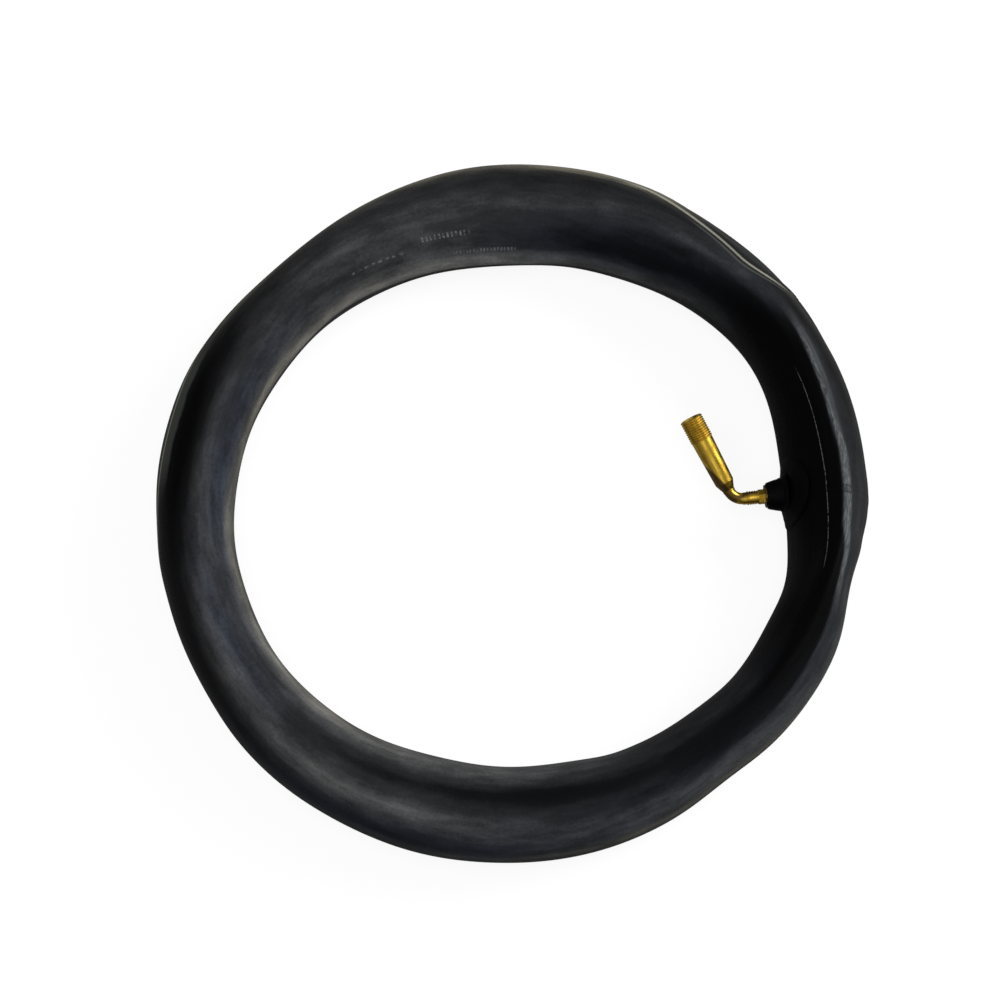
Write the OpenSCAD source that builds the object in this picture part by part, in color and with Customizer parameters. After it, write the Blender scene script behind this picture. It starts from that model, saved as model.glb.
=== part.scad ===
// Bicycle inner tube with a bent valve, lying slack on a flat surface.
// The ring lies round the +Z axis and rests on z = 0. The valve stands on the ring's inner side, on +X.
// All sizes are in millimetres and all angles in degrees.

/* [Tube] */
// Mean radius of the ring, to the middle of the section
ring_r = 105.2; // [92:0.1:140]
// Radius that the section has when it is round
section_r = 15.6; // [13.4:0.1:19]
// Thickness of the rubber wall
tube_wall = 1.3; // [0.9:0.1:2]
// How much the section spreads where the slack ring is widest, and narrows a quarter turn away
slump = 3.35; // [0:0.05:4]
// Direction in which the slack ring is widest
slump_angle = 106; // [90:1:120]
// How far the section leans outwards at the top, on the valve's side, per millimetre of height
valve_side_lean = 0.21; // [0:0.01:0.3]

/* [Valve base] */
// Diameter of the reinforcing patch round the valve
patch_d = 24.6; // [21:0.2:28]
// Thickness of the reinforcing patch
patch_t = 1.1; // [0.8:0.1:1.8]
// Diameter of the rubber boot where it stands on the patch
boot_root_d = 11.8; // [11:0.1:14]
// Diameter of the rubber boot at its mouth
boot_mouth_d = 8.6; // [8.2:0.1:10]
// Height of the boot above the tube
boot_h = 6.8; // [5.4:0.1:7.8]
// Diameter of the air hole through the tube and the patch
air_hole_d = 3.6; // [2.6:0.1:4]
// How far the valve leans along the ring where it leaves the tube
valve_tilt = 5; // [0:1:12]

/* [Stem] */
// Diameter of the stem's barrel below its thread
barrel_d = 7.3; // [6.9:0.05:7.7]
// Diameter of the barrel where it starts to narrow to the bend
barrel_waist_d = 6.4; // [5.9:0.1:6.8]
// Length from the corner of the bend to the mouth
barrel_len = 30.8; // [29.6:0.1:42]
// Diameter of the thin neck between the foot and the barrel
neck_d = 4.1; // [3.7:0.1:4.3]
// Length from the tube to the corner of the bend
neck_len = 17.8; // [17.2:0.1:26]
// Angle of the bend, from the wheel's radius
bend_angle = 67.5; // [30:0.5:78]
// Turn of the bend round the foot, from straight up
bend_roll = 65; // [0:1:90]
// Radius of the bend, to the middle of the neck
bend_r = 5.2; // [3.8:0.1:6]
// Diameter of the air way through the bend
air_way_d = 2; // [1.4:0.1:2.2]
// Diameter of the foot that the rubber holds
foot_d = 7.9; // [7:0.1:8.3]
// Thickness of the foot
foot_t = 1.2; // [0.8:0.1:1.6]
// Distance from the patch to the foot
foot_lift = 0.9; // [0.8:0.1:1.1]
// Width across the flats of the hexagon over the washer
hex_af = 4.4; // [4.3:0.1:5.4]
// Length of the hexagon
hex_len = 2.1; // [1.4:0.1:2.8]
// Number of turned grooves beside the hexagon
groove_count = 5; // [2:1:6]
// Diameter of the washer on the boot's mouth
washer_d = 7.6; // [5.8:0.1:8]
// Thickness of the washer
washer_t = 0.6; // [0.5:0.1:1.6]

/* [Valve threads] */
// Outside diameter of the cap thread
thread_d = 7.8; // [7.4:0.02:7.84]
// Pitch of the cap thread
thread_pitch = 0.8; // [0.7:0.05:1]
// Number of turns of the cap thread
thread_turns = 10; // [8:1:12]
// Depth of the cap thread
thread_depth = 0.36; // [0.3:0.02:0.5]
// Diameter of the core's thread in the mouth
core_thread_d = 5.2; // [5:0.05:5.4]
// Pitch of the core's thread
core_pitch = 0.7; // [0.6:0.05:0.8]
// Number of turns of the core's thread
core_turns = 5; // [3:1:5]

/* [Valve core] */
// Depth of the pin's tip below the mouth
pin_recess = 0.3; // [0.1:0.1:0.6]
// Travel of the pin when it is pressed
pin_travel = 1.8; // [1:0.1:2]
// Diameter of the pin
pin_d = 1; // [0.9:0.05:1.1]
// Height of the plug's bridge above its thread
bridge_h = 2.4; // [2:0.1:2.8]
// Width of the plug's bridge across its flats
bridge_w = 2.9; // [2.6:0.1:3.2]
// Outside diameter of the core's barrel
core_barrel_d = 3.5; // [3.4:0.02:3.6]
// Length of the core's barrel below the plug
core_barrel_len = 5.3; // [5:0.1:6]
// Diameter of the spring's wire
spring_wire_d = 0.3; // [0.25:0.01:0.34]
// Number of turns of the spring
spring_turns = 7; // [5:1:9]
// Outside diameter of the seal's cup
cup_d = 3.6; // [3.4:0.05:3.7]
// Height of the seal's cup
cup_h = 1.55; // [1.3:0.05:1.8]
// Thickness of the rubber disc in the cup
disc_t = 0.8; // [0.6:0.05:1]

/* [Fits] */
// Film between rubber and what it is bonded to
bond_gap = 0.02; // [0.01:0.01:0.05]
// Clearance round a piece that turns or slides in another
running_gap = 0.05; // [0.03:0.01:0.08]

/* [Hidden] */
$fn = 40;
overcut = 1;

// Uneven places of the slack ring: [angle, spread, shift of the centre line, change of the half width].
dents = [
    [ 35, 15,  0.9, -1.3],
    [128, 25, -3.5, -5.3],
    [200, 30,  0.4,  0.4],
    [228, 25,  2.2,  0.0],
    [303, 40,  0.9, -5.3],
    [305,  8, -0.9, -0.9],
    [343,  8, -0.9, -2.6],
    [  3, 15, -1.3,  0.9]
];
lean_spread = 36;
ring_steps = 72;
side_steps = 24;
step = 360 / ring_steps;
// Depth to which the soft tube flattens on the surface. It takes in the lowest three points of every loop.
rest_cut = 0.047 * section_r;

// ---- The slack ring's skin ----

function total(v) = v * [for (x = v) 1];
function turn_between(a, b) = abs((((a - b) % 360) + 540) % 360 - 180);
function swell(a, at, spread) = exp(-pow(turn_between(a, at) / spread, 2));
function centre_r(a) = ring_r + total([for (d = dents) d[2] * swell(a, d[0], d[1])]);
function half_width(a) =
    section_r + slump * cos(2 * (a - slump_angle)) + total([for (d = dents) d[3] * swell(a, d[0], d[1])]);
// A slack section keeps its girth, so it stands taller where it is narrower.
function half_height(a) = sqrt(2 * pow(section_r, 2) - pow(half_width(a), 2));
function centre_z(a) = half_height(a) - rest_cut;
function lean(a) = valve_side_lean * swell(a, 0, lean_spread);

// A point of the skin at ring angle a and section angle s, grown outwards by grow. At s = 0 it faces the axle.
function skin(a, s, grow = 0) =
    let (
        up = (half_height(a) + grow) * sin(s),
        out = lean(a) * up - (half_width(a) + grow) * cos(s),
        r = centre_r(a) + out
    )
    [r * cos(a), r * sin(a), max(centre_z(a) + up, -grow)];

// Faces between loops of points, each loop side_steps long.
function band(i, j, count) =
    let (
        i2 = (i + 1) % count,
        j2 = (j + 1) % side_steps,
        p = i * side_steps + j,
        q = i2 * side_steps + j,
        r = i2 * side_steps + j2,
        t = i * side_steps + j2
    )
    [[p, q, r], [p, r, t]];

function loops(first, last, grow) =
    [for (i = [first : last], j = [0 : side_steps - 1]) skin(i * step, j * 360 / side_steps, grow)];

module whole_ring(grow) {
    polyhedron(
        loops(0, ring_steps - 1, grow),
        [for (i = [0 : ring_steps - 1], j = [0 : side_steps - 1], f = band(i, j, ring_steps)) f]
    );
}

// The stretch of the ring beside the valve, closed at both ends.
module ring_stretch(steps, grow) {
    count = 2 * steps + 1;
    end = (count - 1) * side_steps;
    polyhedron(
        loops(-steps, steps, grow),
        concat(
            [for (i = [0 : count - 2], j = [0 : side_steps - 1], f = band(i, j, count)) f],
            [[for (j = [0 : side_steps - 1]) j]],
            [[for (j = [side_steps - 1 : -1 : 0]) end + j]]
        )
    );
}

// ---- Places ----

seat_r = centre_r(0) - half_width(0);
seat_z = centre_z(0);
// Number of steps of the ring that the patch reaches to either side
patch_steps = ceil(asin((patch_d / 2 + patch_t) / seat_r) / step);

// The valve's foot: +Z points to the axle, +X points up.
module at_valve() {
    translate([seat_r, 0, seat_z]) rotate([0, 0, valve_tilt]) rotate([0, -90, 0]) children();
}

bend_reach = bend_r * tan(bend_angle / 2);

// The corner of the bend, where the axes of the foot and the barrel cross: +Z points to the mouth.
module at_corner() {
    at_valve() rotate([0, 0, bend_roll]) translate([0, 0, neck_len]) rotate([0, bend_angle, 0]) children();
}

module at_mouth() {
    at_corner() translate([0, 0, barrel_len]) children();
}

// ---- Heights along the foot, from the tube ----

foot_z = patch_t + foot_lift;
boot_sink = 5;
boot_rise = 0.8;
washer_z = boot_h;
hex_z = washer_z + washer_t;
groove_z = hex_z + hex_len;
groove_pitch = 0.85;
groove_rise = 0.22;
groove_land = 0.45;
bend_start_z = neck_len - bend_reach;
// The bend is a little thinner than the straight parts, which overlap its ends by the length lap.
bend_thinning = 0.3;
bend_d = neck_d - bend_thinning;
// The straight parts of the air way are a little wider than the bend's.
air_way_step = 0.2;
straight_air_way_d = air_way_d + air_way_step;
lap = 0.4;
shoulder_len = 2.8;

// ---- Depths along the core, from the mouth, as negative heights ----

bridge_recess = 0.5;
plug_top_z = -(pin_recess + bridge_recess);
core_thread_depth = 0.3;
head_gap = 0.15;
bridge_roof = 1.2;
plug_thread_z = plug_top_z - bridge_h;
core_thread_len = core_turns * core_pitch;
plug_bottom_z = plug_thread_z - core_thread_len;
spigot_len = 1.5;
core_bottom_z = plug_bottom_z - core_barrel_len;
flange_t = 0.5;
gasket_top_z = plug_bottom_z - flange_t;
gasket_len = 2.6;
gasket_bottom_z = gasket_top_z - gasket_len;
seat_top_d = 4.8;
chamber_d = 4.1;
shoulder_t = 0.8;
shoulder_z = core_bottom_z + shoulder_t;
flange_rise = 0.25;
pin_air_gap = 0.25;
spring_room_d = 2.5;
pin_head_d = 1.5;
pin_head_len = 1.4;
pin_collar_d = 2.1;
pin_collar_t = 0.5;
pin_collar_drop = 0.9;
pin_collar_z = plug_bottom_z + spigot_len - pin_collar_drop;
disc_top_z = core_bottom_z - bond_gap;
disc_rise = 0.3;
cup_top_z = disc_top_z - disc_rise;
cup_bottom_z = cup_top_z - cup_h;
rivet_d = 1.6;
rivet_h = 0.6;
cup_wall = 0.3;
// Room that is left below the pin when it is pressed
chamber_spare = 2;
chamber_bottom_z = cup_bottom_z - rivet_h - pin_travel - chamber_spare;

// ---- Shared shapes ----

// A cylinder from height z1 to z2.
module rod(d, z1, z2) {
    translate([0, 0, z1]) cylinder(d = d, h = z2 - z1);
}

// A cone from diameter d1 at z1 to d2 at z2.
module taper(d1, d2, z1, z2) {
    translate([0, 0, z1]) cylinder(d1 = d1, d2 = d2, h = z2 - z1);
}

// The profile of a thread that ends at z = 0, from the bottom up, with one ring for each turn.
function thread_profile(d, pitch, turns, depth) =
    let (land = pitch * 0.22, root = pitch * 0.1)
    concat(
        [for (i = [turns - 1 : -1 : 0]) each [
            [d / 2 - depth, -(i + 1) * pitch],
            [d / 2 - depth, -(i + 1) * pitch + root],
            [d / 2, -(i + 0.5) * pitch - land / 2],
            [d / 2, -(i + 0.5) * pitch + land / 2]
        ]],
        [[d / 2 - depth, 0]]
    );

// The bend, as a bar of diameter d.
module bend(d) {
    at_valve() rotate([0, 0, bend_roll]) translate([bend_r, 0, bend_start_z]) rotate([90, 0, 180])
        rotate_extrude(angle = bend_angle) translate([bend_r, 0]) circle(d = d);
}

// ---- The pieces ----

module tube_body() {
    color([0.09, 0.09, 0.1])
        difference() {
            whole_ring(0);
            whole_ring(-tube_wall);
            at_valve() rod(air_hole_d, -tube_wall - 3 * overcut, overcut);
        }
}

module reinforcing_patch() {
    color([0.07, 0.07, 0.08])
        difference() {
            intersection() {
                ring_stretch(patch_steps, patch_t);
                at_valve() rod(patch_d, -section_r / 2, patch_t + overcut);
            }
            ring_stretch(patch_steps + 1, 0);
            at_valve() rod(air_hole_d, -overcut, patch_t + overcut);
        }
}

module valve_base() {
    color([0.03, 0.03, 0.035])
        difference() {
            at_valve() difference() {
                rotate_extrude()
                    polygon([
                        [0, -boot_sink],
                        [boot_root_d / 2, -boot_sink],
                        [boot_root_d / 2, patch_t + boot_rise],
                        [boot_mouth_d / 2, boot_h],
                        [0, boot_h]
                    ]);
                rod(air_hole_d, -boot_sink - overcut, foot_z + overcut);
                rod(foot_d + 2 * bond_gap, foot_z - bond_gap, foot_z + foot_t + bond_gap);
                rod(neck_d + 2 * bond_gap, foot_z, boot_h + overcut);
            }
            ring_stretch(patch_steps + 1, patch_t);
        }
}

module foot_washer() {
    color([0.62, 0.5, 0.2])
        at_valve() difference() {
            rod(washer_d, washer_z + bond_gap, hex_z - bond_gap);
            rod(neck_d + 2 * running_gap, washer_z - overcut, hex_z + overcut);
        }
}

module stem_outside() {
    at_valve() {
        rotate_extrude()
            polygon(concat(
                [[0, foot_z], [foot_d / 2, foot_z], [foot_d / 2, foot_z + foot_t], [neck_d / 2, foot_z + foot_t]],
                [for (i = [0 : groove_count - 1], z = groove_z + i * groove_pitch) each [
                    [neck_d / 2, z],
                    [neck_d / 2 + groove_rise, z],
                    [neck_d / 2 + groove_rise, z + groove_land],
                    [neck_d / 2, z + groove_land]
                ]],
                [[neck_d / 2, bend_start_z + lap], [0, bend_start_z + lap]]
            ));
        translate([0, 0, hex_z]) cylinder(d = hex_af / cos(30), h = hex_len, $fn = 6);
    }
    bend(bend_d);
    at_corner() rotate_extrude()
        polygon(concat(
            [
                [0, bend_reach - lap],
                [neck_d / 2, bend_reach - lap],
                [neck_d / 2, bend_reach + lap],
                [barrel_waist_d / 2, bend_reach + lap + shoulder_len],
                [barrel_d / 2, barrel_len - thread_turns * thread_pitch]
            ],
            [for (p = thread_profile(thread_d, thread_pitch, thread_turns, thread_depth)) [p[0], p[1] + barrel_len]],
            [[0, barrel_len]]
        ));
}

module stem_inside() {
    at_valve() rod(straight_air_way_d, foot_z - overcut, bend_start_z + lap);
    bend(air_way_d);
    at_corner() rod(straight_air_way_d, bend_reach - lap, barrel_len + chamber_bottom_z + lap);
    at_mouth() rotate_extrude()
        polygon([
            [0, chamber_bottom_z],
            [chamber_d / 2, chamber_bottom_z],
            [chamber_d / 2, gasket_bottom_z],
            [seat_top_d / 2, gasket_top_z],
            [core_thread_d / 2, gasket_top_z],
            [core_thread_d / 2, overcut],
            [0, overcut]
        ]);
}

module valve_stem() {
    color([0.72, 0.55, 0.15])
        difference() {
            stem_outside();
            stem_inside();
        }
}

module core_plug() {
    d = core_thread_d - 2 * running_gap;
    color([0.75, 0.66, 0.4])
        at_mouth() difference() {
            union() {
                translate([0, 0, plug_thread_z]) rotate_extrude()
                    polygon(concat(
                        [[0, -core_thread_len]],
                        thread_profile(d, core_pitch, core_turns, core_thread_depth),
                        [[0, 0]]
                    ));
                intersection() {
                    rod(d - 2 * core_thread_depth, plug_thread_z - lap, plug_top_z);
                    translate([-bridge_w / 2, -d, plug_thread_z - lap]) cube([bridge_w, 2 * d, bridge_h + lap]);
                }
            }
            rod(pin_head_d + 2 * head_gap, plug_thread_z, plug_top_z + overcut);
            rod(spring_room_d, plug_bottom_z - overcut, plug_top_z - bridge_roof);
            rod(core_barrel_d + 2 * running_gap, plug_bottom_z - overcut, plug_bottom_z + spigot_len);
        }
}

module core_barrel() {
    color([0.75, 0.66, 0.4])
        at_mouth() difference() {
            union() {
                rod(core_barrel_d, core_bottom_z, plug_bottom_z + spigot_len - running_gap);
                rod(core_barrel_d + 2 * flange_rise, gasket_top_z + bond_gap, plug_bottom_z - running_gap);
            }
            rod(spring_room_d, shoulder_z, plug_bottom_z + spigot_len + overcut);
            rod(pin_d + 2 * pin_air_gap, core_bottom_z - overcut, shoulder_z + overcut);
        }
}

module barrel_gasket() {
    color([0.8, 0.15, 0.1])
        at_mouth() difference() {
            taper(chamber_d - 2 * bond_gap, seat_top_d - 2 * bond_gap, gasket_bottom_z, gasket_top_z);
            rod(core_barrel_d + 2 * bond_gap, gasket_bottom_z - overcut, gasket_top_z + overcut);
        }
}

module core_pin() {
    color([0.8, 0.72, 0.45])
        at_mouth() {
            rod(pin_d, cup_bottom_z - lap, -pin_recess - lap);
            rod(pin_head_d, -pin_recess - pin_head_len, -pin_recess);
            rod(pin_collar_d, pin_collar_z, pin_collar_z + pin_collar_t);
            rod(rivet_d, cup_bottom_z - rivet_h, cup_bottom_z - bond_gap);
        }
}

spring_sides = 6;
spring_steps = 12;

// The spring's wire, one unbroken helix whose ends stop short of what it presses on.
module core_spring() {
    mean_r = (spring_room_d + pin_d) / 4;
    low = shoulder_z + spring_wire_d / 2 + bond_gap;
    high = pin_collar_z - spring_wire_d / 2 - bond_gap;
    count = spring_turns * spring_steps + 1;
    points = [
        for (i = [0 : count - 1], j = [0 : spring_sides - 1])
            let (a = i * 360 / spring_steps, s = j * 360 / spring_sides)
            [
                (mean_r + spring_wire_d / 2 * cos(s)) * cos(a),
                (mean_r + spring_wire_d / 2 * cos(s)) * sin(a),
                low + (high - low) * i / (count - 1) + spring_wire_d / 2 * sin(s)
            ]
    ];
    last = (count - 1) * spring_sides;
    faces = concat(
        [for (i = [0 : count - 2], j = [0 : spring_sides - 1])
            let (p = i * spring_sides + j, q = i * spring_sides + (j + 1) % spring_sides)
            each [[p, q, q + spring_sides], [p, q + spring_sides, p + spring_sides]]],
        [[for (j = [spring_sides - 1 : -1 : 0]) j]],
        [[for (j = [0 : spring_sides - 1]) last + j]]
    );
    color([0.7, 0.7, 0.72]) at_mouth() polyhedron(points, faces);
}

module seal_cup() {
    color([0.75, 0.66, 0.4])
        at_mouth() difference() {
            rod(cup_d, cup_bottom_z, cup_top_z);
            rod(cup_d - 2 * cup_wall, disc_top_z - disc_t - bond_gap, cup_top_z + overcut);
            rod(pin_d + 2 * bond_gap, cup_bottom_z - overcut, cup_top_z);
        }
}

module seal_disc() {
    color([0.12, 0.12, 0.12])
        at_mouth() difference() {
            rod(cup_d - 2 * cup_wall - 2 * bond_gap, disc_top_z - disc_t, disc_top_z);
            rod(pin_d + 2 * bond_gap, disc_top_z - disc_t - overcut, disc_top_z + overcut);
        }
}

tube_body();
reinforcing_patch();
valve_base();
foot_washer();
valve_stem();
core_plug();
core_barrel();
barrel_gasket();
core_pin();
core_spring();
seal_cup();
seal_disc();
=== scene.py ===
import math

import bpy
import bmesh
import numpy as np
from mathutils import Matrix, Vector


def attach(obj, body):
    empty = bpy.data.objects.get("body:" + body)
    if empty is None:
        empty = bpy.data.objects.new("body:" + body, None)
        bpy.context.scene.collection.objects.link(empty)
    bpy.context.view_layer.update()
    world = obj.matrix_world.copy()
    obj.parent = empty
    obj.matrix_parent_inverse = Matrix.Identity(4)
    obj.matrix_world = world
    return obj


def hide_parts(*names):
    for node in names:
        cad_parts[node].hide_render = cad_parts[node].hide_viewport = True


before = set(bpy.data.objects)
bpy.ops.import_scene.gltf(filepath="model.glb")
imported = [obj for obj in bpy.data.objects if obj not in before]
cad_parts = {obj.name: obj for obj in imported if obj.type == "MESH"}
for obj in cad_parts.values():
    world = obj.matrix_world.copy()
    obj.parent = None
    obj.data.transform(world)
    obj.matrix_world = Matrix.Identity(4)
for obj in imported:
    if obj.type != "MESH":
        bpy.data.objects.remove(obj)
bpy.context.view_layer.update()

MM = 0.001
scene = bpy.context.scene

# ------------------------------------------------- the slack ring's shape, in millimetres and degrees

RING_R = 105.2
SECTION_R = 15.6
SLUMP = 3.35
SLUMP_ANGLE = 106.0
LEAN = 0.21
LEAN_SPREAD = 36.0
REST_CUT = 0.047 * SECTION_R
# Uneven places: angle, spread, shift of the centre line, change of the half width
DENTS = (
    (35, 15, 0.9, -1.3),
    (128, 25, -3.5, -5.3),
    (200, 30, 0.4, 0.4),
    (228, 25, 2.2, 0.0),
    (303, 40, 0.9, -5.3),
    (305, 8, -0.9, -0.9),
    (343, 8, -0.9, -2.6),
    (3, 15, -1.3, 0.9),
)


def turn(a, b):
    """The smaller angle between the directions a and b."""
    return np.abs(((a - b) % 360 + 540) % 360 - 180)


def swell(a, at, spread):
    """A soft swelling round the direction at, 1 at its middle."""
    return np.exp(-((turn(a, at) / spread) ** 2))


def centre_r(a):
    return RING_R + sum(d[2] * swell(a, d[0], d[1]) for d in DENTS)


def half_width(a):
    return (SECTION_R + SLUMP * np.cos(2 * np.radians(a - SLUMP_ANGLE))
            + sum(d[3] * swell(a, d[0], d[1]) for d in DENTS))


def half_height(a):
    return np.sqrt(2 * SECTION_R ** 2 - half_width(a) ** 2)


def centre_z(a):
    return half_height(a) - REST_CUT


def skin(a, s, grow=0.0):
    """Points of the rubber's surface at ring angle a and section angle s, grown outwards by grow."""
    a, s = np.broadcast_arrays(np.asarray(a, float), np.asarray(s, float))
    sr = np.radians(s)
    up = (half_height(a) + grow) * np.sin(sr)
    out = LEAN * swell(a, 0, LEAN_SPREAD) * up - (half_width(a) + grow) * np.cos(sr)
    r = centre_r(a) + out
    return np.stack([r * np.cos(np.radians(a)), r * np.sin(np.radians(a)),
                     np.maximum(centre_z(a) + up, -np.minimum(grow, 0.0))], -1)


def smooth(x, low, high):
    t = np.clip((x - low) / (high - low), 0, 1)
    return t * t * (3 - 2 * t)


def mesh_object(name, verts, faces, uvs=None):
    mesh = bpy.data.meshes.new(name)
    mesh.from_pydata([tuple(v) for v in verts], [], faces)
    if uvs is not None:
        layer = mesh.uv_layers.new(name="place")
        layer.data.foreach_set("uv", np.asarray(uvs, np.float32).ravel())
    mesh.polygons.foreach_set("use_smooth", [True] * len(mesh.polygons))
    mesh.update()
    obj = bpy.data.objects.new(name, mesh)
    scene.collection.objects.link(obj)
    return obj


def point_values(obj, name, values):
    layer = obj.data.attributes.new(name, "FLOAT", "POINT")
    layer.data.foreach_set("value", np.asarray(values, np.float32).ravel())


# ---------------------------------------------------------------- the tube

# Points round the ring and round its section
RINGS = 720
SIDES = 100
# Heights of the relief, in millimetres, and how far the skin lies inside the nominal surface
WAVE = 0.22
RIPPLE = 0.16
FOLD_HOLLOW = 0.8
FOLD_BULGE = 0.6
SPLICE_STEP = 0.10
SKIN_INSET = 0.05


def fold_line(A):
    """Section angle of the fold on the upper right, which comes in from the outer wall and goes back."""
    away = A - 44
    rise = np.where(away > 0, 2.1 * (np.hypot(away, 1.5) - 1.5), 0.4 * away ** 2)
    return np.minimum(109 + rise, 153)


def mould_line(A):
    """Section angle of the fine moulded line on the inner wall, to both sides of the valve."""
    past = (A + 180) % 360 - 180
    return np.where(past > 0, 67 - 0.3 * past, 67 + 0.018 * past ** 2)


def seam_line(A):
    """Section angle of the outer seam, which sags towards the crest on the side opposite the valve."""
    return np.minimum(178, 147 + 0.035 * (A - 166) ** 2)


def shade_and_wear_edge(A):
    """Section angle of the sharp edge on the crest between the clean inner wall, darkened with painted shade,
    and the worn outer wall, lightened with painted light.
    """
    past = (A + 180) % 360 - 180
    far = np.minimum(0.75 * np.maximum(past - 5, 0), 4.5) - 0.5 * np.maximum(past - 20, 0)
    near = 15 * smooth(-past, 8, 16) + 0.62 * np.maximum(-past - 15.5, 0)
    return 88 - far + near


# Folds and hollows: ring angle, its spread, section angle, its spread, height
FOLDS = (
    # the fold along the crest, on the valve's side
    (0, 48, 90, 7, 0.8), (0, 48, 50, 22, -1.3), (0, 48, 128, 20, -0.8),
    # the hollow at the kink on the far side
    (150, 5, 118, 30, -0.6),
    # the notch under the splice and the corner beside it
    (359, 3.5, 160, 26, 0.35), (351.5, 2.2, 140, 26, -0.9), (344, 5, 120, 14, -0.7),
)
# Small unevenness of the walls: ring angle, its spread, section angle, height
SWELLING_SPREAD = 30.0
SWELLINGS = (
    (21, 9, 140, 0.5), (158, 7, 165, 0.4), (190, 5, 165, 0.6), (220, 6, 165, 0.4), (272, 8, 165, 0.35),
    (303, 7, 160, 0.45), (326, 11, 155, 0.6), (318, 7, 15, -0.6), (262, 12, 20, -0.6), (288, 5, 20, -0.5),
    (136, 10, 10, 0.5), (84, 8, 10, 0.5), (340, 6, 15, -0.5),
)


def tube_surface():
    a = (np.arange(RINGS) * 360.0 / RINGS)[:, None]
    s = (np.arange(SIDES) * 360.0 / SIDES)[None, :]
    p = skin(a, s)
    A, S = np.broadcast_arrays(a, s)
    # the surface's own normal, along which it moves
    n = skin(A, S, 0.5) - skin(A, S, 0.0)
    n[..., 2] = 0.5 * np.sin(np.radians(S))
    n /= np.linalg.norm(n, axis=-1, keepdims=True) + 1e-9
    top = np.clip(np.sin(np.radians(S)), 0, 1)
    move = np.zeros_like(A)
    for at, spread, level, width, height in FOLDS:
        move += height * swell(A, at, spread) * np.exp(-((S - level) / width) ** 2)
    for at, spread, level, height in SWELLINGS:
        move += height * swell(A, at, spread) * np.exp(-((turn(S, level)) / SWELLING_SPREAD) ** 2)
    # the fold that comes in from the outer wall to the crest and goes back, with a bulge outside it
    line = fold_line(A)
    along = smooth(A, 22, 32) * (1 - smooth(A, 74, 92))
    move -= FOLD_HOLLOW * along * np.exp(-((S - line + 5) / 6.0) ** 2)
    move += FOLD_BULGE * along * np.exp(-((S - line - 6) / 7.0) ** 2)
    # soft waves of the slack wall
    move += WAVE * np.sin(np.radians(7 * A + 40)) * np.sin(np.radians(2 * S + 30)) * top
    move += RIPPLE * np.sin(np.radians(13 * A + 2 * S))
    # the splice: a faint raised step across the tube
    move += SPLICE_STEP * (smooth(A, 356.6, 356.9) - smooth(A, 357.9, 358.2))
    # the strip that it lies on stays flat
    move *= 1 - np.exp(-((S - 270) / 24.0) ** 2)
    move -= SKIN_INSET
    p = p + n * move[..., None]
    p[..., 2] = np.maximum(p[..., 2], 0.0)
    verts = p.reshape(-1, 3) * MM
    faces = []
    uvs = []
    for i in range(RINGS):
        i2 = (i + 1) % RINGS
        for j in range(SIDES):
            j2 = (j + 1) % SIDES
            faces.append((i * SIDES + j, i2 * SIDES + j, i2 * SIDES + j2, i * SIDES + j2))
            u0, u1, v0, v1 = i / RINGS, (i + 1) / RINGS, j / SIDES, (j + 1) / SIDES
            uvs += [(u0, v0), (u1, v0), (u1, v1), (u0, v1)]
    return verts, faces, uvs, A, S


verts, faces, uvs, A, S = tube_surface()
tube = mesh_object("tube_skin", verts, faces, uvs)


# How pale the rubber is, from 0 to 130. Each place: ring angle, section angle, their spreads, change.
TONE = 46.0
TONE_RANGE = 130
TONES = (
    # paler inner wall on the left, far and near sides: dust, and painted light where it faces the lamps
    (132, 5, 62, 15, 56), (224, 34, 30, 17, 54), (258, 50, 28, 14, 24), (95, 24, 22, 10, 14),
    (276, 28, 20, 12, 22), (150, 30, 40, 16, 12),
    # dark stretches of the inner wall to both sides of the valve: clean rubber, and painted shade where the
    # wall turns from the key light
    (42, 44, 34, 26, -24), (70, 44, 20, 20, -14), (318, 44, 30, 30, -12), (328, 84, 20, 14, -24),
    (300, 92, 22, 18, -20), (274, 84, 14, 14, -24), (246, 82, 18, 10, -12), (50, 84, 16, 8, 10),
    # dark outer wall on the left, and below it: clean rubber, and painted shade where it turns from the key
    # light
    (170, 114, 17, 22, -52), (204, 142, 22, 20, -28), (246, 154, 26, 12, -16), (154, 108, 12, 26, -12),
    (188, 130, 10, 16, -14),
    # worn bands along the crest and the outer wall, with painted light where the outer wall faces the key
    # light
    (240, 119, 26, 14, 42), (211, 98, 14, 14, 34), (180, 68, 30, 12, 12), (45, 131, 22, 8, 14),
    (306, 144, 38, 24, 24), (118, 78, 22, 14, 12), (82, 120, 14, 14, -11), (190, 82, 12, 8, 14),
    (90, 90, 40, 16, 7), (112, 136, 22, 10, 12), (110, 50, 24, 16, 8),
    # paler places low on the inner wall: dust, and painted light at the inner rims; the place at 92, 150 is a
    # painted highlight on the outer rim
    (98, 20, 26, 16, 22), (50, 20, 26, 20, 8), (208, 26, 18, 14, 14), (256, 18, 20, 20, 12),
    (352, 122, 14, 12, 14), (92, 150, 40, 9, 46),
    # painted shade: the rubber is darkened where the key light falls hardest
    (22, 122, 44, 22, -20),
    # painted highlights: cream rims at the inner and the outer silhouette, where the light grazes the rubber
    (190, 28, 13, 10, 30), (150, 13, 16, 9, 22), (104, 8, 26, 10, 20), (308, 167, 36, 6, 26),
    (28, 143, 7, 4, 30), (140, 140, 9, 7, 40), (107, 152, 10, 6, 26),
    # dark stretches
    (168, 94, 11, 11, -10), (180, 122, 12, 14, -8), (254, 80, 20, 10, -9), (320, 136, 16, 14, -9),
    (58, 73, 13, 8, -12), (296, 114, 14, 10, -10), (60, 126, 8, 8, -10),
    (37, 80, 9, 6, 14),
)
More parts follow.
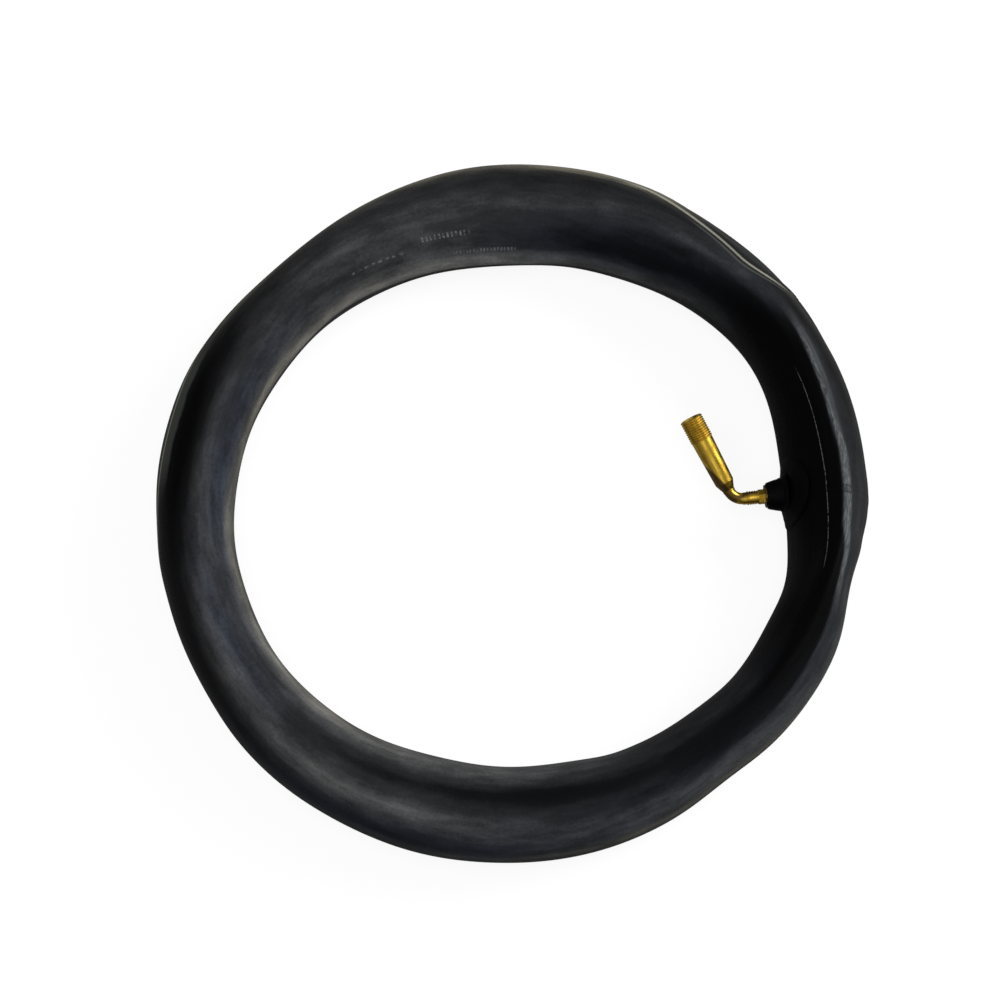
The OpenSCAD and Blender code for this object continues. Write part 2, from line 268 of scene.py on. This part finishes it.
# Where the rubber has a warm or a blue cast: ring angle, section angle, their spreads, amount
# the warm casts at the silhouettes give the painted rim highlights their cream colour
CASTS = (
    (90, 146, 62, 12, 1.2), (222, 32, 22, 12, 0.45), (32, 134, 16, 14, 0.5),
    (172, 46, 30, 22, -1.0), (66, 46, 24, 22, -1.1), (208, 84, 18, 20, -0.8), (250, 152, 28, 16, -1.2),
    (20, 70, 60, 40, -0.5), (300, 110, 40, 40, -0.5), (308, 168, 38, 7, 1.3), (140, 140, 10, 8, 1.2),
    (160, 10, 34, 12, 0.8), (192, 28, 14, 12, 0.8),
)


def patches(A, S, places):
    """The sum of soft patches at the given places."""
    return sum(p[4] * swell(A, p[0], p[2]) * np.exp(-((S - p[1]) / p[3]) ** 2) for p in places)


def tone(A, S):
    """How pale the rubber is at every point, from 0 to nearly 1."""
    v = TONE + patches(A, S, TONES)
    past = (A + 180) % 360 - 180
    step = S - shade_and_wear_edge(A)
    # the stretch on which the crest's edge is sharp, and the clean inner wall beside it, which also carries
    # painted shade
    sharp = smooth(past, -68, -52) * (1 - smooth(past, 24, 36))
    clean_and_shaded = (1 - smooth(turn(A, 2), 20, 50)) * (S < 200)
    inside = 1 - smooth(step, -2.5, 2.5)
    # painted shade: the inner wall beside the valve and the inner side of the crest's edge are darkened for
    # their shade as well as for clean rubber
    v = v - 45 * clean_and_shaded * (sharp * inside + (1 - sharp) * (1 - smooth(S, 76, 90)))
    v = v - 20 * (1 - clean_and_shaded) * sharp * inside * smooth(S, 70, 100)
    # painted shade: the underside beside the valve is darkened
    v = v - 45 * (S > 320) * swell(A, 0, 40)
    # the crest is palest along its edge: wear, and painted light where the outer wall turns to the key light
    v = v + 22 * sharp * smooth(past, -28, -14) * smooth(step, -1, 2) * (1 - smooth(step, 12, 19))
    return np.clip(v, 1, 125) / TONE_RANGE


point_values(tube, "pale", tone(A, S))
point_values(tube, "cast", np.clip(0.5 + 0.5 * patches(A, S, CASTS), 0, 1))
# section angles from the lines; they jump back on the strip that the tube lies on
S_OPEN = (S + 80) % 360 - 80
for name, line in (("mould_line", mould_line), ("fold_line", fold_line), ("seam_line", seam_line)):
    point_values(tube, name, np.clip(S_OPEN - line(A), -60, 60))
# the pale edge of the crest, between painted shade and wear, narrows towards the upper right
narrowing = 1 + 1.1 * smooth((A + 180) % 360 - 180, 5, 14)
point_values(tube, "shade_and_wear_edge", np.clip((S_OPEN - shade_and_wear_edge(A)) * narrowing, -60, 60))
# every face points outwards
bm = bmesh.new()
bm.from_mesh(tube.data)
bmesh.ops.recalc_face_normals(bm, faces=bm.faces)
bm.to_mesh(tube.data)
bm.free()

# ---------------------------------------------------------------- the valve's place

SEAT_R = float(centre_r(np.array(0.0)) - half_width(np.array(0.0)))
SEAT_Z = float(centre_z(np.array(0.0)))
SEAT_HALF_HEIGHT = float(half_height(np.array(0.0)))
PATCH_T = 1.1
# The patch's hole, its flat middle, where its edge starts to thin out, and its edge
PATCH_HOLE_R, PATCH_FLAT_R, PATCH_TAPER_R, PATCH_EDGE_R = 1.9, 9.7, 10.0, 12.35
PATCH_TURNS = 96
NECK_LEN = 17.8
BARREL_LEN = 30.8
TILT, BEND, ROLL = math.radians(5), math.radians(67.5), math.radians(65)
FOOT_DIR = Vector((-math.cos(TILT), -math.sin(TILT), 0))
SIDE_DIR = Vector((-math.sin(TILT), math.cos(TILT), 0))
UP_DIR = Vector((0, 0, 1))
BARREL_DIR = (FOOT_DIR * math.cos(BEND) + SIDE_DIR * math.sin(BEND) * math.sin(ROLL)
              + UP_DIR * math.sin(BEND) * math.cos(ROLL))
SEAT = Vector((SEAT_R, 0, SEAT_Z))
CORNER = SEAT + FOOT_DIR * NECK_LEN


def rows_of_faces(rows, turns):
    """Faces and their places between closed rows of points."""
    faces, uvs = [], []
    for k in range(rows - 1):
        for j in range(turns):
            j2 = (j + 1) % turns
            faces.append((k * turns + j, k * turns + j2, (k + 1) * turns + j2, (k + 1) * turns + j))
            for kk, jj in ((k, j), (k, j + 1), (k + 1, j + 1), (k + 1, j)):
                uvs.append((jj / turns, kk / rows))
    return faces, uvs


def patch():
    """The patch round the valve: a thin disc that follows the tube and thins out at its edge."""
    radii = np.concatenate([np.linspace(PATCH_HOLE_R, PATCH_FLAT_R, 14),
                            np.linspace(PATCH_TAPER_R, PATCH_EDGE_R, 12)])
    verts = []
    for rho in radii:
        lift = PATCH_T * (1 - 0.75 * smooth(rho, 6.0, 11.6) - 0.25 * smooth(rho, 11.4, 12.2))
        # its edge goes a little into the tube
        lift = lift - 0.12 * smooth(rho, 11.9, PATCH_EDGE_R)
        phi = np.arange(PATCH_TURNS) * 2 * math.pi / PATCH_TURNS
        s = np.degrees(np.arcsin(np.clip(rho * np.sin(phi) / SEAT_HALF_HEIGHT, -1, 1)))
        a = np.degrees(rho * np.cos(phi) / SEAT_R)
        # its moulded surface carries shallow rings
        lift = lift + 0.04 * math.sin(rho * 3.6) * (rho < 10.2)
        verts += list(skin(a, s, lift) * MM)
    return mesh_object("patch_skin", verts, *rows_of_faces(len(radii), PATCH_TURNS))


def lathe(name, profile, origin, axis, turns, wobble):
    """A turned piece, slightly out of round: profile is (radius, height) pairs in millimetres along axis."""
    turn_to = axis.normalized().to_track_quat("Z", "Y").to_matrix()
    verts = []
    for r, h in profile:
        for j in range(turns):
            t = 2 * math.pi * j / turns
            rr = r * (1 + wobble * math.sin(3 * t + h))
            verts.append((origin + turn_to @ Vector((rr * math.cos(t), rr * math.sin(t), h))) * MM)
    return mesh_object(name, verts, *rows_of_faces(len(profile), turns))


def rounded(points, radius, steps=4):
    """A profile with its inner corners rounded."""
    out = [points[0]]
    for a, b, c in zip(points, points[1:], points[2:]):
        a, b, c = Vector(a), Vector(b), Vector(c)
        r = min(radius, (a - b).length * 0.45, (c - b).length * 0.45)
        p, q = b + (a - b).normalized() * r, b + (c - b).normalized() * r
        for i in range(steps + 1):
            t = i / steps
            out.append(tuple(p * (1 - t) ** 2 + b * 2 * t * (1 - t) + q * t * t))
    out.append(points[-1])
    return out


patch_skin = patch()
BOOT_H = 6.8
boot_profile = rounded([
    (7.0, 0.2), (6.4, 1.15), (5.75, 1.6), (5.6, 2.5), (5.4, 2.6), (5.15, 3.9), (4.8, 5.2), (4.5, 6.3),
    (4.3, BOOT_H), (3.4, BOOT_H), (3.3, BOOT_H - 0.3), (2.0, BOOT_H - 0.35),
], 0.4)
boot_skin = lathe("boot_skin", boot_profile, SEAT, FOOT_DIR, turns=72, wobble=0.004)

# ---------------------------------------------------------------- materials


def material(name):
    """A new material: itself, its nodes and its shader."""
    m = bpy.data.materials.new(name)
    m.use_nodes = True
    nt = m.node_tree
    nt.nodes.clear()
    out = nt.nodes.new("ShaderNodeOutputMaterial")
    bsdf = nt.nodes.new("ShaderNodeBsdfPrincipled")
    nt.links.new(bsdf.outputs[0], out.inputs[0])
    return m, nt, bsdf


def node(nt, kind, **values):
    """A new node with constant values on its inputs."""
    n = nt.nodes.new(kind)
    for k, v in values.items():
        n.inputs[k].default_value = v
    return n


def math_node(nt, op, a, b=None, clamp=False):
    """One step of arithmetic on outputs or numbers."""
    n = nt.nodes.new("ShaderNodeMath")
    n.operation = op
    n.use_clamp = clamp
    for i, v in enumerate((a, b)):
        if v is None:
            continue
        if isinstance(v, (int, float)):
            n.inputs[i].default_value = v
        else:
            nt.links.new(v, n.inputs[i])
    return n.outputs[0]


def times(nt, first, *others):
    """The product of outputs or numbers."""
    for other in others:
        first = math_node(nt, "MULTIPLY", first, other)
    return first


def plus(nt, first, *others, clamp=False):
    """The sum of outputs or numbers."""
    for other in others:
        first = math_node(nt, "ADD", first, other, clamp=clamp)
    return first


def centred(nt, value, amount):
    """A noise's value, moved to lie round zero, times amount."""
    return times(nt, math_node(nt, "SUBTRACT", value, 0.5), amount)


def noise(nt, vector, scale, detail=3.0, rough=0.55, distortion=0.0):
    n = node(nt, "ShaderNodeTexNoise", Scale=scale, Detail=detail, Roughness=rough, Distortion=distortion)
    nt.links.new(vector, n.inputs["Vector"])
    return n.outputs["Fac"]


def ramp(nt, fac, stops):
    """Colours along a scale: stops are (place, colour) pairs."""
    r = nt.nodes.new("ShaderNodeValToRGB")
    el = r.color_ramp.elements
    while len(el) < len(stops):
        el.new(0.5)
    for e, (p, c) in zip(el, stops):
        e.position = p
        e.color = (*c, 1)
    nt.links.new(fac, r.inputs[0])
    return r.outputs[0]


def mix(nt, fac, a, b, blend="MIX"):
    m = nt.nodes.new("ShaderNodeMix")
    m.data_type = "RGBA"
    m.blend_type = blend
    for sock, v in ((m.inputs["Factor"], fac), (m.inputs["A"], a), (m.inputs["B"], b)):
        if isinstance(v, (int, float)):
            sock.default_value = v
        elif isinstance(v, tuple):
            sock.default_value = (*v, 1)
        else:
            nt.links.new(v, sock)
    return m.outputs["Result"]


def bump(nt, bsdf, height, strength, distance):
    b = node(nt, "ShaderNodeBump", Strength=strength, Distance=distance)
    nt.links.new(height, b.inputs["Height"])
    nt.links.new(b.outputs[0], bsdf.inputs["Normal"])


def within(nt, value, low, high, soft):
    """1 where value lies between low and high, with soft edges."""
    steps = []
    for edge, before, after in ((low, 0.0, 1.0), (high, 1.0, 0.0)):
        step = node(nt, "ShaderNodeMapRange")
        step.interpolation_type = "SMOOTHSTEP"
        nt.links.new(value, step.inputs["Value"])
        step.inputs["From Min"].default_value = edge - soft
        step.inputs["From Max"].default_value = edge + soft
        step.inputs["To Min"].default_value = before
        step.inputs["To Max"].default_value = after
        steps.append(step.outputs[0])
    return times(nt, *steps)


RUBBER_SPECULAR = 0.05
# Colours of the marks on the rubber
TALC = (0.165, 0.18, 0.175)
MOULD_LINE = (0.16, 0.17, 0.18)
SEAM_DUST = (0.055, 0.060, 0.054)
SEAM_SHADE = (0.001, 0.001, 0.001)
SEAM_EDGE = (0.32, 0.31, 0.25)
SPLICE_LINE = (0.006, 0.006, 0.006)
FLAP = (0.02, 0.022, 0.022)
FOLD_SIDE = (0.085, 0.09, 0.085)
# painted highlights: the cream rim past the fold and the fold's own edge
RIM_HIGHLIGHT = (0.22, 0.21, 0.16)
FOLD_HIGHLIGHT = (0.36, 0.35, 0.29)
TICKS = (0.17, 0.19, 0.20)
DUST = (0.2, 0.2, 0.2)
BLACK, WHITE = (0, 0, 0), (1, 1, 1)


def tube_places(nt):
    """Where a point lies on the tube: its angles, the stored values and a vector drawn out along the ring."""
    uv = nt.nodes.new("ShaderNodeUVMap")
    uv.uv_map = "place"
    sep = nt.nodes.new("ShaderNodeSeparateXYZ")
    nt.links.new(uv.outputs[0], sep.inputs[0])
    place = {"ang": times(nt, sep.outputs[0], 360.0), "sec": times(nt, sep.outputs[1], 360.0)}
    for name in ("pale", "cast", "mould_line", "fold_line", "seam_line", "shade_and_wear_edge"):
        attribute = nt.nodes.new("ShaderNodeAttribute")
        attribute.attribute_name = name
        place[name] = attribute.outputs["Fac"]
    comb = nt.nodes.new("ShaderNodeCombineXYZ")
    nt.links.new(times(nt, sep.outputs[0], 16.0), comb.inputs[0])
    nt.links.new(times(nt, sep.outputs[1], 9.0), comb.inputs[1])
    place["drawn_out"] = comb.outputs[0]
    return place


def lay(nt, base, mask, amount, colour):
    """A colour laid over base where mask is above 0."""
    return mix(nt, times(nt, mask, amount), base, colour)


def ticks(nt, place, sec_low, sec_high, a_low, a_high, pitch, width):
    """A row of tick marks along the ring."""
    phase = math_node(nt, "FRACT", times(nt, place["ang"], 1.0 / pitch))
    stripe = within(nt, phase, 0.5 - width / 2, 0.5 + width / 2, 0.08)
    block = times(nt, within(nt, place["sec"], sec_low, sec_high, 0.5),
                  within(nt, place["ang"], a_low, a_high, 0.3))
    return times(nt, stripe, block)


def tube_material():
    m, nt, bsdf = material("tube_rubber_look")
    pos = nt.nodes.new("ShaderNodeNewGeometry").outputs["Position"]
    place = tube_places(nt)
    ang = place["ang"]
    streak = noise(nt, place["drawn_out"], 3.0, 5.0, 0.6)
    cloud = noise(nt, pos, 62.0, 4.0, 0.6)
    fine = noise(nt, pos, 1000.0, 3.0, 0.6)
    grain = noise(nt, pos, 3600.0, 2.0, 0.5)
    # the marks fade where the rubber is clean
    uneven = plus(nt, centred(nt, streak, 0.95), centred(nt, cloud, 0.55), centred(nt, fine, 0.35))
    level = plus(nt, place["pale"], times(nt, uneven, place["pale"]), clamp=True)
    base = ramp(nt, level, [(0.0, (0.0004, 0.0004, 0.0005)), (0.19, (0.005, 0.0052, 0.0058)),
                            (0.385, (0.025, 0.0255, 0.027)), (0.58, (0.066, 0.067, 0.068)),
                            (0.77, (0.125, 0.125, 0.124)), (1.0, (0.22, 0.22, 0.215))])
    # warm and blue casts
    tint = ramp(nt, place["cast"], [(0.0, (0.78, 0.95, 1.32)), (0.5, WHITE), (1.0, (1.22, 1.12, 0.80))])
    base = mix(nt, plus(nt, 0.25, cloud), base, mix(nt, 1.0, base, tint, "MULTIPLY"))

    # talc left along the pale edge of the crest
    talc_place = times(nt, within(nt, place["shade_and_wear_edge"], 3, 15, 3),
                       math_node(nt, "MAXIMUM", within(nt, ang, -4, 27, 3), within(nt, ang, 341, 364, 4)))
    talc_noise = ramp(nt, noise(nt, place["drawn_out"], 14.0, 6.0, 0.72, 0.6), [(0.42, BLACK), (0.6, WHITE)])
    talc = times(nt, talc_place, talc_noise)
    base = lay(nt, base, talc, 0.75, TALC)

    # a thin, broken mould line on the inner wall beside the valve
    mould = times(nt, within(nt, math_node(nt, "ABSOLUTE", place["mould_line"]), -1, 0.55, 0.3),
                  math_node(nt, "MAXIMUM", within(nt, ang, -5, 21, 2), within(nt, ang, 343, 365, 1.5)))
    broken = ramp(nt, noise(nt, place["drawn_out"], 30.0, 2.0, 0.5), [(0.40, BLACK), (0.5, WHITE)])
    mould = times(nt, mould, broken)
    base = lay(nt, base, mould, 0.8, MOULD_LINE)

    # the seam on the outer wall opposite, with a ragged dusty band and a dark line beside it
    seam = within(nt, math_node(nt, "ABSOLUTE", place["seam_line"]), -1, 1.3, 0.5)
    seam_near = within(nt, ang, 152, 194, 7)
    ragged = plus(nt, place["seam_line"], times(nt, cloud, 16.0))
    seam_band = times(nt, within(nt, ragged, -12, 17, 3), within(nt, ang, 153, 177, 5))
    seam_shade = times(nt, within(nt, place["seam_line"], 10, 13, 1.2), seam_near)
    base = lay(nt, base, seam_band, 0.8, SEAM_DUST)
    base = lay(nt, base, seam_shade, 0.8, SEAM_SHADE)
    base = lay(nt, base, times(nt, seam, seam_near), 0.85, SEAM_EDGE)

    # two fine dark lines of the splice cross the pale crest
    splice_lines = math_node(nt, "MAXIMUM", within(nt, ang, 358.2, 358.4, 0.12),
                             within(nt, ang, 357.0, 357.2, 0.12))
    splice_lines = times(nt, splice_lines, within(nt, place["shade_and_wear_edge"], 0, 16, 1))
    base = lay(nt, base, splice_lines, 0.75, SPLICE_LINE)

    # the fold: the dark flap behind it, the wall before it, a painted highlight on the rim past it and a
    # painted highlight along its own edge
    past_fold = place["fold_line"]
    flap = times(nt, within(nt, past_fold, 2.5, 60, 1.0), within(nt, ang, 37, 54, 2))
    beside = times(nt, within(nt, past_fold, -9, -4, 1.5), within(nt, ang, 30, 56, 3))
    rim_highlight = times(nt, within(nt, past_fold, 0, 60, 1.5), within(nt, ang, 61, 117, 9),
                within(nt, past_fold, -60, 17, 9))
    fold_highlight = times(nt, within(nt, math_node(nt, "ABSOLUTE", past_fold), -1, 1.2, 0.8),
                 within(nt, ang, 37, 68, 3))
    for mask, amount, colour in ((flap, 0.6, FLAP), (beside, 0.6, FOLD_SIDE), (rim_highlight, 0.6, RIM_HIGHLIGHT),
                                 (fold_highlight, 0.85, FOLD_HIGHLIGHT)):
        base = lay(nt, base, mask, amount, colour)

    # pale, worn tick marks on the far side: a scale with no words
    marks = math_node(nt, "MAXIMUM", ticks(nt, place, 54, 60, 97.5, 108, 0.9, 0.5),
                      ticks(nt, place, 29, 34, 88, 101.5, 0.75, 0.55))
    marks = math_node(nt, "MAXIMUM", marks, ticks(nt, place, 45, 48, 112, 125, 1.6, 0.5))
    worn = ramp(nt, noise(nt, pos, 700.0, 4.0, 0.7), [(0.42, BLACK), (0.56, WHITE)])
    base = lay(nt, base, times(nt, marks, worn), 0.6, TICKS)

    # specks of dust
    cells = node(nt, "ShaderNodeTexVoronoi", Scale=190.0)
    nt.links.new(pos, cells.inputs["Vector"])
    speck = ramp(nt, cells.outputs["Distance"], [(0.0, WHITE), (0.045, BLACK)])
    keep = ramp(nt, noise(nt, pos, 40.0, 2.0), [(0.6, BLACK), (0.68, WHITE)])
    base = lay(nt, base, times(nt, speck, keep), 0.35, DUST)
    nt.links.new(base, bsdf.inputs["Base Color"])

    rough = plus(nt, 0.46, times(nt, streak, 0.16), times(nt, fine, 0.10), times(nt, talc, 0.25), clamp=True)
    nt.links.new(rough, bsdf.inputs["Roughness"])
    bsdf.inputs["Specular IOR Level"].default_value = RUBBER_SPECULAR

    # relief: fine moulded grain, faint ribs along the ring, the mould lines and the splice
    splice = within(nt, ang, 357.2, 357.7, 0.15)
    ribs = math_node(nt, "SINE", times(nt, place["sec"], 0.55))
    height = plus(nt, times(nt, grain, 0.25), times(nt, fine, 0.6), times(nt, streak, 1.2),
                  times(nt, ribs, 0.10), times(nt, math_node(nt, "MAXIMUM", mould, seam), 1.4))
    height = math_node(nt, "SUBTRACT", height, times(nt, splice, 1.5))
    bump(nt, bsdf, height, 0.5, 0.00022)
    return m


def boot_material():
    m, nt, bsdf = material("boot_rubber_look")
    pos = nt.nodes.new("ShaderNodeNewGeometry").outputs["Position"]
    cloud = noise(nt, pos, 320.0, 4.0, 0.6)
    fine = noise(nt, pos, 2600.0, 3.0, 0.6)
    base = ramp(nt, cloud, [(0.3, (0.0003, 0.0003, 0.0004)), (0.6, (0.0007, 0.0007, 0.0009)),
                            (0.8, (0.002, 0.002, 0.002))])
    nt.links.new(base, bsdf.inputs["Base Color"])
    nt.links.new(plus(nt, 0.45, times(nt, cloud, 0.25)), bsdf.inputs["Roughness"])
    bsdf.inputs["Specular IOR Level"].default_value = RUBBER_SPECULAR
    bump(nt, bsdf, fine, 0.35, 0.00008)
    return m


def dot(nt, a, b):
    """How far the vector a reaches along the constant direction b."""
    n = nt.nodes.new("ShaderNodeVectorMath")
    n.operation = "DOT_PRODUCT"
    nt.links.new(a, n.inputs[0])
    n.inputs[1].default_value = b
    return n.outputs["Value"]


# The side of the barrel that is made darker brown beside the bend, and its colour
BROWN_SIDE = Vector((-0.88, -0.47, 0))
BROWN_SIDE = (BROWN_SIDE - BROWN_SIDE.dot(BARREL_DIR) * BARREL_DIR).normalized()
BROWN = (0.09, 0.052, 0.019)
THREAD_LEN = 8


def brass_material(name, bright, dark, axis, rough, streaks=True, tarnish=0.5, stem=False):
    """Turned and drawn brass. Streaks run along axis; tarnish lies in patches; on a stem, one side is also
    darker brown by the bend.
    """
    m, nt, bsdf = material(name)
    geo = nt.nodes.new("ShaderNodeNewGeometry")
    pos = geo.outputs["Position"]
    mapping = nt.nodes.new("ShaderNodeMapping")
    to_axis = axis.normalized().to_track_quat("Z", "Y").to_matrix().inverted()
    mapping.inputs["Rotation"].default_value = to_axis.to_euler()
    nt.links.new(pos, mapping.inputs["Vector"])
    stretch = nt.nodes.new("ShaderNodeVectorMath")
    stretch.operation = "MULTIPLY"
    nt.links.new(mapping.outputs[0], stretch.inputs[0])
    stretch.inputs[1].default_value = (1, 1, 0.09)
    lines = noise(nt, stretch.outputs[0], 1100.0, 3.0, 0.55)
    broad = noise(nt, stretch.outputs[0], 420.0, 3.0, 0.6)
    spots = noise(nt, pos, 230.0, 4.0, 0.55)
    pits = noise(nt, pos, 3000.0, 3.0, 0.6)
    shade = plus(nt, times(nt, broad, 0.65), times(nt, lines, 0.35))
    mid = tuple((b + d) / 2 for b, d in zip(bright, dark))
    colour = ramp(nt, shade, [(0.36, dark), (0.5, mid), (0.62, bright)])
    stain = ramp(nt, spots, [(0.48, BLACK), (0.7, WHITE)])
    colour = lay(nt, colour, stain, tarnish, tuple(0.42 * d for d in dark))
    roughness = plus(nt, rough, times(nt, stain, 0.22), times(nt, lines, 0.12))
    if stem:
        along = math_node(nt, "SUBTRACT", dot(nt, pos, tuple(BARREL_DIR)), float(CORNER.dot(BARREL_DIR)) * MM)
        facing = dot(nt, geo.outputs["Normal"], tuple(BROWN_SIDE))
        # the brown is wide at the bend and narrows to the edge along the barrel
        past_edge = math_node(nt, "SUBTRACT", facing, times(nt, along, 90.0))
        brown = times(nt, within(nt, along, -1 * MM, 16 * MM, 1 * MM), within(nt, past_edge, -0.35, 9, 0.12))
        colour = lay(nt, colour, brown, 0.95, BROWN)
        # the thread is duller
        thread = within(nt, along, (BARREL_LEN - THREAD_LEN) * MM, (BARREL_LEN + 1) * MM, 0.3 * MM)
        colour = lay(nt, colour, thread, 0.3, tuple(0.5 * d for d in mid))
        roughness = plus(nt, roughness, times(nt, brown, 0.15), times(nt, thread, 0.16))
    nt.links.new(colour, bsdf.inputs["Base Color"])
    bsdf.inputs["Metallic"].default_value = 1.0
    nt.links.new(roughness, bsdf.inputs["Roughness"])
    height = plus(nt, lines, times(nt, pits, 0.3))
    if streaks:
        height = plus(nt, height, broad)
    bump(nt, bsdf, height, 0.3, 0.00005)
    return m


def steel_material():
    m, nt, bsdf = material("spring_steel_look")
    n = noise(nt, nt.nodes.new("ShaderNodeNewGeometry").outputs["Position"], 2500.0, 3.0)
    base = ramp(nt, n, [(0.3, (0.35, 0.35, 0.37)), (0.7, (0.62, 0.62, 0.65))])
    nt.links.new(base, bsdf.inputs["Base Color"])
    bsdf.inputs["Metallic"].default_value = 1.0
    nt.links.new(plus(nt, 0.25, times(nt, n, 0.2)), bsdf.inputs["Roughness"])
    bump(nt, bsdf, n, 0.2, 0.00003)
    return m


def seal_material(name, low, high):
    m, nt, bsdf = material(name)
    n = noise(nt, nt.nodes.new("ShaderNodeNewGeometry").outputs["Position"], 1800.0, 4.0)
    nt.links.new(ramp(nt, n, [(0.3, low), (0.7, high)]), bsdf.inputs["Base Color"])
    nt.links.new(plus(nt, 0.5, times(nt, n, 0.3)), bsdf.inputs["Roughness"])
    bump(nt, bsdf, n, 0.25, 0.00004)
    return m


def dress(obj, mat):
    obj.data.materials.clear()
    obj.data.materials.append(mat)


rubber = tube_material()
boot = boot_material()
dress(tube, rubber)
dress(boot_skin, boot)
dress(patch_skin, boot)

GOLD = (0.84, 0.56, 0.075)
GOLD_DARK = (0.36, 0.215, 0.02)
stem_brass = brass_material("stem_brass_look", GOLD, GOLD_DARK, BARREL_DIR, 0.25, stem=True)
# painted shade: the washer's brass is coloured nearly black for the dark surroundings it reflects
shaded_washer_brass = brass_material("washer_brass_look", (0.16, 0.11, 0.03), (0.012, 0.009, 0.004), FOOT_DIR,
                              0.30, tarnish=0.8)
core_brass = brass_material("core_brass_look", (0.72, 0.55, 0.22), (0.36, 0.25, 0.08), BARREL_DIR, 0.28,
                            streaks=False, tarnish=0.35)
for name, mat in (
    ("valve_stem", stem_brass), ("foot_washer", shaded_washer_brass), ("core_plug", core_brass),
    ("core_barrel", core_brass), ("core_pin", core_brass), ("seal_cup", core_brass),
    ("core_spring", steel_material()),
    ("barrel_gasket", seal_material("gasket_red_look", (0.30, 0.02, 0.012), (0.5, 0.06, 0.03))),
    ("seal_disc", seal_material("seal_rubber_look", (0.008, 0.008, 0.008), (0.03, 0.03, 0.03))),
):
    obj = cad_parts[name]
    for i in range(len(obj.material_slots)):
        obj.material_slots[i].material = mat

for piece, cad_node, finish in (
    (tube, "tube_body", "tube_rubber"),
    (patch_skin, "reinforcing_patch", "tube_rubber"),
    (boot_skin, "valve_base", "boot_rubber"),
):
    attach(piece, "tube")
    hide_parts(cad_node)

# ---------------------------------------------------------------- floor, light and camera

floor_mesh = bpy.data.meshes.new("floor")
FLOOR_HALF = 6.0
FLOOR_Z = -0.0004
corners = [(x * FLOOR_HALF, y * FLOOR_HALF, FLOOR_Z) for x, y in ((-1, -1), (1, -1), (1, 1), (-1, 1))]
floor_mesh.from_pydata(corners, [], [(0, 1, 2, 3)])
floor = bpy.data.objects.new("floor", floor_mesh)
scene.collection.objects.link(floor)
floor_white, nt, bsdf = material("floor_white")
pos = nt.nodes.new("ShaderNodeNewGeometry").outputs["Position"]
bsdf.inputs["Roughness"].default_value = 0.9
bsdf.inputs["Specular IOR Level"].default_value = 0.1
emit = nt.nodes.new("ShaderNodeEmission")
add = nt.nodes.new("ShaderNodeAddShader")
path = nt.nodes.new("ShaderNodeLightPath")
seen = path.outputs["Is Camera Ray"]
paper = ramp(nt, noise(nt, pos, 300.0, 3.0), [(0.3, (0.49, 0.49, 0.49)), (0.7, (0.51, 0.51, 0.51))])
# the camera sees a darker floor that also shines by itself, so it is white and keeps the shadow
nt.links.new(mix(nt, seen, paper, (0.18, 0.18, 0.18)), bsdf.inputs["Base Color"])
nt.links.new(times(nt, seen, 0.88), emit.inputs["Strength"])
out = next(n for n in nt.nodes if n.type == "OUTPUT_MATERIAL")
nt.links.new(bsdf.outputs[0], add.inputs[0])
nt.links.new(emit.outputs[0], add.inputs[1])
nt.links.new(add.outputs[0], out.inputs[0])
floor_mesh.materials.append(floor_white)

world = bpy.data.worlds.new("studio")
scene.world = world
world.use_nodes = True
wt = world.node_tree
wt.nodes.clear()
wout = wt.nodes.new("ShaderNodeOutputWorld")
bg = wt.nodes.new("ShaderNodeBackground")
bg.inputs["Color"].default_value = (1, 1, 1, 1)
bg.inputs["Strength"].default_value = 0.28
wt.links.new(bg.outputs[0], wout.inputs[0])


def softbox(name, place, size, watts):
    """A square lamp that points at the frame's origin."""
    data = bpy.data.lights.new(name, "AREA")
    data.shape = "RECTANGLE"
    data.size = data.size_y = size
    data.energy = watts
    obj = bpy.data.objects.new(name, data)
    scene.collection.objects.link(obj)
    obj.location = place
    obj.rotation_euler = (-Vector(place)).to_track_quat("-Z", "Y").to_euler()


softbox("key", (1.23, 0.53, 0.79), 0.88, 18.6)
softbox("fill", (-0.26, -0.44, 1.5), 1.06, 9.3)

ELEVATION, AZIMUTH = math.radians(72), math.radians(-1.3)
DISTANCE = 1.056
PX_PER_M = 3000.0
PICTURE_PX = 1000.0
SENSOR_MM = 36.0
LOOK = Vector((0, 0, 0.0145))
# How far right and down of the picture's middle the ring's centre stands, in pixels
OFF_RIGHT, OFF_DOWN = 12.8, 2.5
forward = Vector((-math.sin(AZIMUTH) * math.cos(ELEVATION), math.cos(AZIMUTH) * math.cos(ELEVATION),
                  -math.sin(ELEVATION)))
right = Vector((math.cos(AZIMUTH), math.sin(AZIMUTH), 0))
above = right.cross(forward)
aim = LOOK + right * (-OFF_RIGHT / PX_PER_M) + above * (OFF_DOWN / PX_PER_M)
cam_data = bpy.data.cameras.new("camera")
cam_data.sensor_fit = "HORIZONTAL"
cam_data.sensor_width = SENSOR_MM
cam_data.lens = SENSOR_MM * DISTANCE * PX_PER_M / PICTURE_PX
cam_data.clip_end = 50.0
camera = bpy.data.objects.new("camera", cam_data)
scene.collection.objects.link(camera)
camera.matrix_world = Matrix((
    (right.x, above.x, -forward.x, aim.x - forward.x * DISTANCE),
    (right.y, above.y, -forward.y, aim.y - forward.y * DISTANCE),
    (right.z, above.z, -forward.z, aim.z - forward.z * DISTANCE),
    (0, 0, 0, 1),
))
scene.camera = camera
scene.view_settings.view_transform = "Standard"
